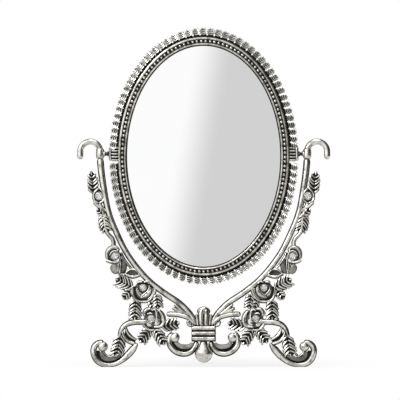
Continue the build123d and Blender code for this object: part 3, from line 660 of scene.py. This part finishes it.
buds = (
    {"place": (94.3, 153.7), "sepals": (
        ([(94.5, 147.6), (94.5, 154), (94.5, 160.6)], [6.8, 9.4, 6.8], 0.0, 1),
        ([(98.8, 149.4), (95.4, 145.4), (90.4, 142.4), (86.6, 140.4)], [1.2, 2.0, 1.8, 1.0], 1.6, 0),
        ([(94.5, 147.2), (90.5, 150.2), (90.2, 156.4), (94, 161)], [1.3, 1.9, 1.9, 1.5], 2.2, 0),
        ([(94.5, 147.2), (98.6, 150.2), (99.0, 156.4), (95, 161)], [1.3, 1.9, 1.9, 1.5], 2.2, 0),
        ([(99.4, 148.6), (93.5, 144.0), (86.1, 139.4)], [1.6, 3.2, 1.8], 1.4, 0.1),
        ([(92.6, 145.6), (92.0, 141.4), (89.6, 137.6), (88.4, 134.4)], [1.6, 2.6, 2.4, 1.4], 1.5, 0),
    )},
    {"place": (80.2, 99.6), "sepals": (
        ([(81.4, 95.4), (81.8, 101.5), (80.8, 107.8)], [8.4, 11.4, 10.0, 6.4], 0.2, 0.85),
        ([(76.2, 104.4), (79.4, 107.6), (84.4, 106.6), (87.0, 102.4), (86.8, 97.4)],
         [1.6, 3.2, 3.6, 3.0, 1.8], 2.0, 0.5),
        ([(76.8, 103.0), (80.0, 104.4), (83.6, 102.6), (84.4, 99.2)], [0.8, 1.2, 1.2, 0.8], 2.6, 0),
        ([(76.4, 94.6), (80.4, 93.8), (84.6, 94.6), (88.0, 96.0)], [1.2, 1.7, 1.8, 1.4], 2.3, 0),
        ([(77.4, 84.0), (80.0, 88.4), (81.8, 92.8)], [2.8, 6.6, 6.8, 3.6], 1.7, 0.62),
        ([(76.6, 93.2), (76.8, 89.4), (77.0, 85.2)], [1.0, 1.5, 1.1], 2.4, 0),
    )},
)


def drawn(point):  # drawn place on the stand, once the arms reach from the band to the pivot
    share = max(0, point[1] - stand["bandTop"]) / (stand["pivotDrawn"] - stand["bandTop"])
    return (
        point[0] + (stand["pivotReach"] - stand["reachDrawn"]) * share,
        point[1] + (pivotHeight - stand["pivotDrawn"]) * share,
        *point[2:],
    )


def placed(points):
    return [drawn(point) for point in points]


def feather(bm, base, tip, width, bend=0.0, lift=0.0, taper=0.4):
    # feathered leaf: dark plate under separate rounded barbs that slant towards the tip
    base, tip = Vector(drawn(base)), Vector(drawn(tip))
    run = tip - base
    side = Vector((-run.y, run.x)).normalized()
    spine = smoothLine([base, base + run / 2 + side * bend, tip])
    last, filled = len(spine) - 1, leafForm["filled"]
    plate = [share * width for share in leafForm["plateWidths"]]
    strand(bm, [spine[0], spine[last // 2], tip - run * leafForm["plateShort"]], plate,
           lift - leafForm["plateDrop"], stations=7, dark=1)
    ribs = max(2, round(filled * run.length / leafForm["pitch"]))
    for index in range(ribs):
        share = filled * index / ribs
        spot = round(share * last)
        heading = (spine[min(spot + 2, last)] - spine[max(spot - 2, 0)]).normalized()
        across = Vector((-heading.y, heading.x, 0))
        root = leafForm["rootWidth"] + (1 - leafForm["rootWidth"]) * min(1, share / leafForm["rootRun"])
        loss = leafForm["tipLoss"] * max(0, share - taper) / leafForm["taperRun"]
        reach = width / 2 * root * (1 - loss)
        thick = leafForm["barb"] * (1 - leafForm["barbThin"] * share)
        for hand in (1, -1):
            out = []
            for lean, spread, high in leafForm["barbLine"]:
                point = spine[spot] + heading * lean * reach + across * hand * spread * reach
                point.z = lift + high
                out.append(point)
            # the barbs carry light painted shade on their sides
            strand(bm, out, [thick * part for part in leafForm["barbWidths"]], leafForm["barbRise"],
                   stations=4, flankShade=leafForm["flankShade"], skirt=leafForm["skirt"])
    low, point = spine[round(leafForm["endFrom"] * last)].copy(), spine[-1].copy()
    low.z = point.z = lift
    strand(bm, [low, point], [leafForm["barb"]] * 2, leafForm["barbRise"], stations=3, flankShade=leafForm["flankShade"])


def scrollBall(bm, centre, radius):  # ball end of a scroll, flat at the back
    steps = [(radius, -backDepth), (radius, 0)]
    steps += [(radius * math.cos(turn), scroll["rise"] * math.sin(turn)) for turn in scroll["turns"]]
    turnedForm(bm, steps, Matrix.Translation((*centre, 0)))


def stoneCup(bm, centre, radius, height):  # setting round a stone, with a thin rim
    outer, wall, lip = radius + cups["foot"], radius + cups["wall"], cups["lip"]
    share, deep = cups["bowl"]
    steps = [(outer, -backDepth), (outer, 0), (wall, height), (radius + lip, height + lip),
             (radius, height - cups["sunk"]), (share * radius, height - deep)]
    turnedForm(bm, steps, Matrix.Translation((*drawn(centre), 0)), sides=20, dark=cups["dark"])


def armCasting():
    bm = newForm()
    for rod in rods.values():
        line, widths, count = placed(rod["points"]), rod["widths"], rod["stations"]
        crest = [width - rodLook["edge"] for width in widths]
        strand(bm, line, crest, rodLook["rise"], stations=count, sides=16, skirt=0)
        # the dark bed paints a shade outline along both edges of each rod
        strand(bm, line, widths, rodLook["shadeBed"], stations=count, dark=1, skirt=0)
    for points, widths, rise, dark in details.values():
        strand(bm, placed(points), widths, rise, stations=12, sides=10, dark=dark)
    scrollBall(bm, drawn(scroll["footBall"]), scroll["footRadius"])
    for leaf in vineLeaves:
        feather(bm, *leaf)
    for rose in roses:
        radius = rose["radius"]
        heart = [(radius, -backDepth)] + [(share * radius, height) for share, height in petalForm["heart"]]
        turnedForm(bm, heart, Matrix.Translation((*drawn(rose["place"]), 0)), sides=20,
                   dark=petalForm["heartDark"])
        for points, widths, rise, dark in rose["petals"]:
            if dark <= petalForm["darkest"]:
                widths = [petalForm["widen"] * width for width in widths]
            strand(bm, placed(points), widths, rise, stations=3 * len(points), sides=10, dark=dark)
        stoneCup(bm, rose["stone"], *cups["rose"])
    for bud in buds:
        for points, widths, rise, dark in bud["sepals"]:
            strand(bm, placed(points), widths, rise, stations=9, sides=10, dark=dark)
        stoneCup(bm, bud["place"], *cups["bud"])
    return bm


right = armCasting()
left = mirrorCopy(right)
finishPiece("right_arm_casting", right, standPlace, pewterStand, "stand", ["right_arm"])
finishPiece("left_arm_casting", left, standPlace, pewterStand, "stand", ["left_arm"])
print("arms cast")

# Hooks: collar, boss and crook

hookForm = {
    "collarRadius": 3.65, "collarHalf": 4.5, "chamfer": 0.8, "soften": (0.2, 0.4), "tubeRadius": 2.8,
    "bendRadius": 9.0, "bendHeight": 2.1, "bendSteps": 24, "drop": 4.3, "bossFace": 89.5, "bossRadius": 2.1,
    "tipTurns": (0.35, 0.7, 1.05, 1.3, 1.5), "lowest": -10,
}


def hookCasting():
    bm = newForm()
    reach, height, lowest = stand["pivotReach"], pivotHeight, hookForm["lowest"]
    wide, half, chamfer = hookForm["collarRadius"], hookForm["collarHalf"], hookForm["chamfer"]
    inward, downward = hookForm["soften"]
    standing = Matrix.Translation((reach, height, 0)) @ Matrix.Rotation(math.radians(-90), 4, "X")
    steps = [(wide - chamfer, -half), (wide - inward, downward - half), (wide, chamfer - half),
             (wide, half - chamfer), (wide - inward, half - downward), (wide - chamfer, half)]
    turnedForm(bm, steps, standing, sides=32, lowest=lowest)
    facing = Matrix.Translation((hookForm["bossFace"], height, 0)) @ Matrix.Rotation(math.radians(90), 4, "Y")
    turnedForm(bm, [(hookForm["bossRadius"], 0), (hookForm["bossRadius"], wide)], facing, lowest=lowest)
    bend, radius, count = height + hookForm["bendHeight"], hookForm["bendRadius"], hookForm["bendSteps"]
    stops = [(math.pi * step / count, 0, 1) for step in range(count + 1)]
    stops += [(math.pi, hookForm["drop"] * step / 3, 1) for step in (1, 2, 3)]
    stops += [(math.pi, hookForm["drop"] + hookForm["tubeRadius"] * math.sin(turn), math.cos(turn))
              for turn in hookForm["tipTurns"]]
    crook = newForm()
    rings = []
    for turn, drop, scale in stops:
        ring = bmesh.ops.create_circle(crook, segments=20, radius=hookForm["tubeRadius"] * scale)["verts"]
        centre = Vector((reach + radius * (1 - math.cos(turn)), bend + radius * math.sin(turn) - drop, 0))
        outward = Vector((-math.cos(turn), math.sin(turn), 0))
        for vert in ring:
            vert.co = centre + outward * vert.co.x + Vector((0, 0, vert.co.y))
        rings.append(ring)
    joinRings(crook, rings)
    addForm(bm, crook)
    return bm


right = hookCasting()
left = mirrorCopy(right)
finishPiece("right_hook_casting", right, standPlace, pewterCast, "stand", ["right_hook"])
finishPiece("left_hook_casting", left, standPlace, pewterCast, "stand", ["left_hook"])
print("hooks cast")

# Clasp: ridged band, fleur, pendant and scrolls

claspForm = {
    "seat": -0.35, "rise": 3.6, "bandInset": 0.3, "ridgeCount": 3, "ridgeShare": 0.74, "ridgeSunk": 0.4,
    "ridgeRise": 1.3,
    "pendantRadius": 8.1, "pendantLength": 18.6, "pendantFlatten": 0.7,
    "pendant": [(0.38, -0.02), (0.41, 0.05), (0.5, 0.16), (0.61, 0.26), (0.74, 0.34), (0.86, 0.42), (0.96, 0.49),
                (1.0, 0.56), (0.985, 0.66), (0.91, 0.77), (0.77, 0.86), (0.61, 0.93), (0.45, 0.975), (0.3, 1.0)],
}
claspScroll = {
    "rim": [(6.0, 23.2), (8.4, 17.3), (12.5, 13.2), (18.5, 11.9), (25, 13.9), (29.6, 18.6), (30.8, 23.6),
            (29.8, 27.8), (26.6, 29.6)],
    "groove": [(9.0, 20.5), (12.8, 15.8), (18.3, 14.5), (24, 16.2), (27.4, 20), (28.2, 24.4)],
    "web": [(9.5, 21.4), (13, 18.6), (18, 18), (22.6, 19.4), (24.8, 22.4)],
    "layers": [  # line, widths, rise, darkness and sides
        # the second rim layer is a dark bed that paints a shade outline round the rim
        ("rim", [3.6, 3.6, 3.8, 4.2, 4.6], 2.3, 0, 16), ("rim", [4.6, 4.6, 4.8, 5.0, 5.2], -1.3, 1, 8),
        ("groove", [1.6, 2.8, 3.0, 2.8, 2.4], -0.9, 1, 8), ("web", [2.0, 3.4, 3.8, 3.4, 3.0], 0.3, 0.62, 10),
    ],
}
fleur = {  # points from the band's top edge, widths and drop below the band's face
    "petals": [
        ([(1.9, -1, 1.4), (2.3, 6, 1.4), (2.4, 11, 1.4), (1.7, 15, 1.4)], [3.4, 3.9, 4.2, 3.8], 0.9, 10, 14),
        ([(5.2, -0.6, 1), (5.6, 5, 1), (6.6, 10.5, 1)], [2.0, 2.4, 1.4], 2, 8, 10),
        ([(7.6, -0.6, 0), (8.4, 4, 0)], [1.6, 1.2], 1.6, 6, 8),
    ],
    "heart": [(0, 9), (0, 13), (0, 17.5)], "heartWidths": [9.0, 11.4, 10.4, 6.6], "heartDrop": 0.9,
}


def claspCasting():
    bm = newForm()
    patinaAndShade = bm.verts.layers.float["patinaAndShade"]
    low, half, seat, rise = stand["bandBottom"], stand["bandHalf"], claspForm["seat"], claspForm["rise"]
    top = stand["bandTop"]
    pitch = (top - low) / claspForm["ridgeCount"]
    core = bmesh.ops.create_cube(bm, size=1)["verts"]
    for vert in core:
        vert.co = Vector((2 * (half - claspForm["bandInset"]) * vert.co.x, low + (top - low) * (vert.co.y + 0.5),
                          seat + (rise - seat) * (vert.co.z + 0.5)))
        vert[patinaAndShade] = 1
    face = rise - claspForm["ridgeSunk"]
    for index in range(claspForm["ridgeCount"]):
        middle = low + (index + 0.5) * pitch
        # the ridges carry painted shade on their sides over the patina of the grooves
        strand(bm, [(-half, middle, face), (half, middle, face)], [claspForm["ridgeShare"] * pitch] * 2,
               claspForm["ridgeSunk"] + claspForm["ridgeRise"], back=-seat, stations=10, sides=16, flankShade=0.7)
    for hand in (1, -1):
        for points, widths, drop, count, sides in fleur["petals"]:
            strand(bm, [(hand * x, top + y, z) for x, y, z in points], widths, rise - drop, back=-seat,
                   stations=count, sides=sides)
    strand(bm, [(x, top + y) for x, y in fleur["heart"]], fleur["heartWidths"], rise - fleur["heartDrop"],
           back=-seat, stations=8, sides=18)
    profile = [(share * claspForm["pendantRadius"], drop * claspForm["pendantLength"])
               for share, drop in claspForm["pendant"]]
    hanging = Matrix.Translation((0, low, 0)) @ Matrix.Rotation(math.radians(90), 4, "X")
    turnedForm(bm, profile, hanging, sides=36, flatten=claspForm["pendantFlatten"])
    for hand in (1, -1):
        for line, widths, rise, dark, sides in claspScroll["layers"]:
            points = [(hand * x, y) for x, y in claspScroll[line]]
            strand(bm, points, widths, rise, stations=20, sides=sides, dark=dark)
        x, y = scroll["claspBall"]
        scrollBall(bm, (hand * x, y), scroll["claspRadius"])
    finishPiece("clasp_casting", bm, standPlace, pewterStand, "stand", ["centre_clasp"])


claspCasting()
print("clasp cast")

# Cut crystals, one in each rose and bud

stones = {  # radius and seat, then rings as share of the radius, height above the seat and turn in facets
    "rose": (2.55, 2.0), "bud": (2.9, 0.6), "corners": 8,
    "rings": [(0.6, 0, 0), (0.98, 0.75, 0), (0.98, 1.0, 0.5), (0.8, 1.75, 0), (0.5, 2.5, 0.5)],
}


def cutStone(centre, radius, seat):  # culet, girdle, crown and flat table, skinned by their hull
    bm = bmesh.new()
    facet = 2 * math.pi / stones["corners"]
    for share, height, turn in stones["rings"]:
        place = Matrix.Translation((*drawn(centre), seat + height)) @ Matrix.Rotation(turn * facet, 4, "Z")
        bmesh.ops.create_circle(bm, segments=stones["corners"], radius=share * radius, matrix=place)
    bmesh.ops.delete(bm, geom=bm.edges[:], context="EDGES_FACES")
    bmesh.ops.convex_hull(bm, input=bm.verts[:])
    return bm


for level, rose, bud in zip(("upper", "lower"), roses, buds):
    for kind, centre in (("rose", rose["stone"]), ("bud", bud["place"])):
        right = cutStone(centre, *stones[kind])
        left = mirrorCopy(right)
        for side, stone in (("right", right), ("left", left)):
            node = f"{side}_{level}_{kind}_crystal"
            finishPiece(node + "_cut", stone, standPlace, crystal, "stand", [node], sharp=5)
print("crystals cut")

# Rear leg: plate on the band's back and a scrolled strut to the table

legForm = {
    "width": 5.4, "plate": (17.0, 12.6, 2.6), "round": 0.7, "depths": [7.6, 6.4, 5.0, 5.4, 5.4, 3.6],
    "line": [(7, 29.9), (20, 33), (36, 26), (52, 13.5), (66, 4.5), (75, 2.5), (80.6, 5.5), (80.2, 10.5),
             (75.6, 11.9), (73.6, 9.1)],
}


def rearLegCasting():
    bm = newForm()
    strand(bm, legForm["line"], legForm["depths"], legForm["width"] / 2, stations=36, sides=16, both=True,
           flankShade=0)
    bmesh.ops.transform(bm, matrix=standPlace.inverted() @ sidePlace, verts=bm.verts)
    form = newForm()
    wide, tall, thick = legForm["plate"]
    middle = Vector((0, (stand["bandBottom"] + stand["bandTop"]) / 2, -backDepth - thick / 2))
    place = Matrix.Translation(middle) @ Matrix.Diagonal((wide, tall, thick, 1))
    bmesh.ops.create_cube(form, size=1, matrix=place)
    bmesh.ops.bevel(form, geom=form.edges[:], offset=legForm["round"], segments=3, affect="EDGES", profile=0.5,
                    material=-1)
    addForm(bm, form)
    finishPiece("rear_leg_casting", bm, standPlace, pewterCast, "stand", ["rear_leg"])


rearLegCasting()
print("rear leg cast")

# CAD nodes that stay

for name, material in (
    ("front_glass", silvered), ("rear_glass", silvered), ("backing_pad", felt), ("clasp_screws", steel),
    ("left_pivot_pin", steel), ("right_pivot_pin", steel), ("left_lock_nut", steel), ("right_lock_nut", steel),
    ("left_washer", steel), ("right_washer", steel),
):
    node = frame["nodes"][name]
    node.data.materials.clear()
    node.data.materials.append(material)
print("kept nodes dressed")

# Studio: pale floor, white surroundings and soft lamps

studio = {
    "distance": 3.0, "plane": -0.030, "frameWidth": 0.36, "aim": (-0.0033, 0.1498), "sensor": 36,
    "floorRadius": 3, "floorGrey": 0.86, "floorNear": 0.05, "floorFar": 0.2, "floorWhite": 0.8,
    "lampAim": (0, 0, 0.15),
    "lamps": {  # place, size and power
        "keyLamp": ((-0.7, -0.9, 0.9), 0.5, 6),
        "topLamp": ((0.1, -0.2, 1.2), 0.6, 4),
    },
}
room = {  # what the metal and the mirror reflect: a room bright to the upper left, and a grey card ahead
    "toLight": (-0.72, -0.55, 0.42), "dim": 0.03, "gain": 1.5, "from": -0.02, "to": 0.95,
    "cardLean": 0.1795, "cardFrom": -0.0107, "cardTo": 0.0027, "cardGrey": 0.655,
    "aheadFrom": 0.985, "aheadTo": 0.996,
}


def floorPiece():  # pale matt floor that grows white away from the mirror
    bm = bmesh.new()
    bmesh.ops.create_circle(bm, segments=64, radius=studio["floorRadius"], cap_ends=True)
    mesh = bpy.data.meshes.new("floor")
    bm.to_mesh(mesh)
    bm.free()
    material, build = newMaterial("paleFloor")
    place = build.add("ShaderNodeTexCoord")[3]
    apart = build.add("ShaderNodeVectorMath", {"operation": "LENGTH"}, {0: place})[1]
    matt = build.add("ShaderNodeBsdfDiffuse", {}, {"Color": (*[studio["floorGrey"]] * 3, 1)})[0]
    white = build.add("ShaderNodeEmission", {}, {"Color": (1, 1, 1, 1), "Strength": 1.0})[0]
    rays = build.add("ShaderNodeLightPath")
    seen = 1 - (1 - rays[0]) * (1 - rays[3])  # by the camera or in a reflection
    near = studio["floorWhite"]
    far = build.steps(apart, studio["floorNear"], studio["floorFar"]) * (1 - near) + near
    look = build.add("ShaderNodeMixShader", {}, {0: seen * far, 1: matt, 2: white})[0]
    build.add("ShaderNodeOutputMaterial", {}, {"Surface": look})
    mesh.materials.append(material)
    floor = bpy.data.objects.new("floor", mesh)
    bpy.context.scene.collection.objects.link(floor)


def surroundings():  # white to the camera, shaded for the metal and the mirror
    world = bpy.data.worlds.new("studio")
    bpy.context.scene.world = world
    build = Build(world)
    heading = build.add("ShaderNodeTexCoord")[0]
    x, y, z = build.add("ShaderNodeSeparateXYZ", {}, {0: heading})
    card = build.steps(x - room["cardLean"] * z, room["cardFrom"], room["cardTo"])
    ahead = build.steps(0 - y, room["aheadFrom"], room["aheadTo"])
    toX, toY, toZ = room["toLight"]
    side = z * toZ + x * toX + y * toY
    around = build.steps(side, room["from"], room["to"]) * room["gain"] + room["dim"]
    grey = 1 - card * (1 - room["cardGrey"])
    level = around * (1 - ahead) + grey * ahead
    rays = build.add("ShaderNodeLightPath")
    level = level * (1 - rays[0]) + rays[0]
    glow = build.add("ShaderNodeBackground", {}, {"Color": (1, 1, 1, 1), "Strength": level})[0]
    build.add("ShaderNodeOutputWorld", {}, {"Surface": glow})


def lamp(name, place, size, power):  # soft round lamp turned to the middle of the mirror
    data = bpy.data.lights.new(name, "AREA")
    data.shape, data.size, data.energy = "DISK", size, power
    light = bpy.data.objects.new(name, data)
    light.location = place
    heading = Vector(studio["lampAim"]) - Vector(place)
    light.rotation_euler = heading.to_track_quat("-Z", "Y").to_euler()
    bpy.context.scene.collection.objects.link(light)


def camera():
    data = bpy.data.cameras.new("camera")
    data.sensor_width = studio["sensor"]
    data.lens = studio["sensor"] * studio["distance"] / studio["frameWidth"]
    data.clip_start = 0.01
    view = bpy.data.objects.new("camera", data)
    view.location = (studio["aim"][0], studio["plane"] - studio["distance"], studio["aim"][1])
    view.rotation_euler = (math.radians(90), 0, 0)
    bpy.context.scene.collection.objects.link(view)
    bpy.context.scene.camera = view


floorPiece()
surroundings()
for name, (place, size, power) in studio["lamps"].items():
    lamp(name, place, size, power)
camera()
bpy.context.scene.view_settings.view_transform = "Standard"
print("studio set")
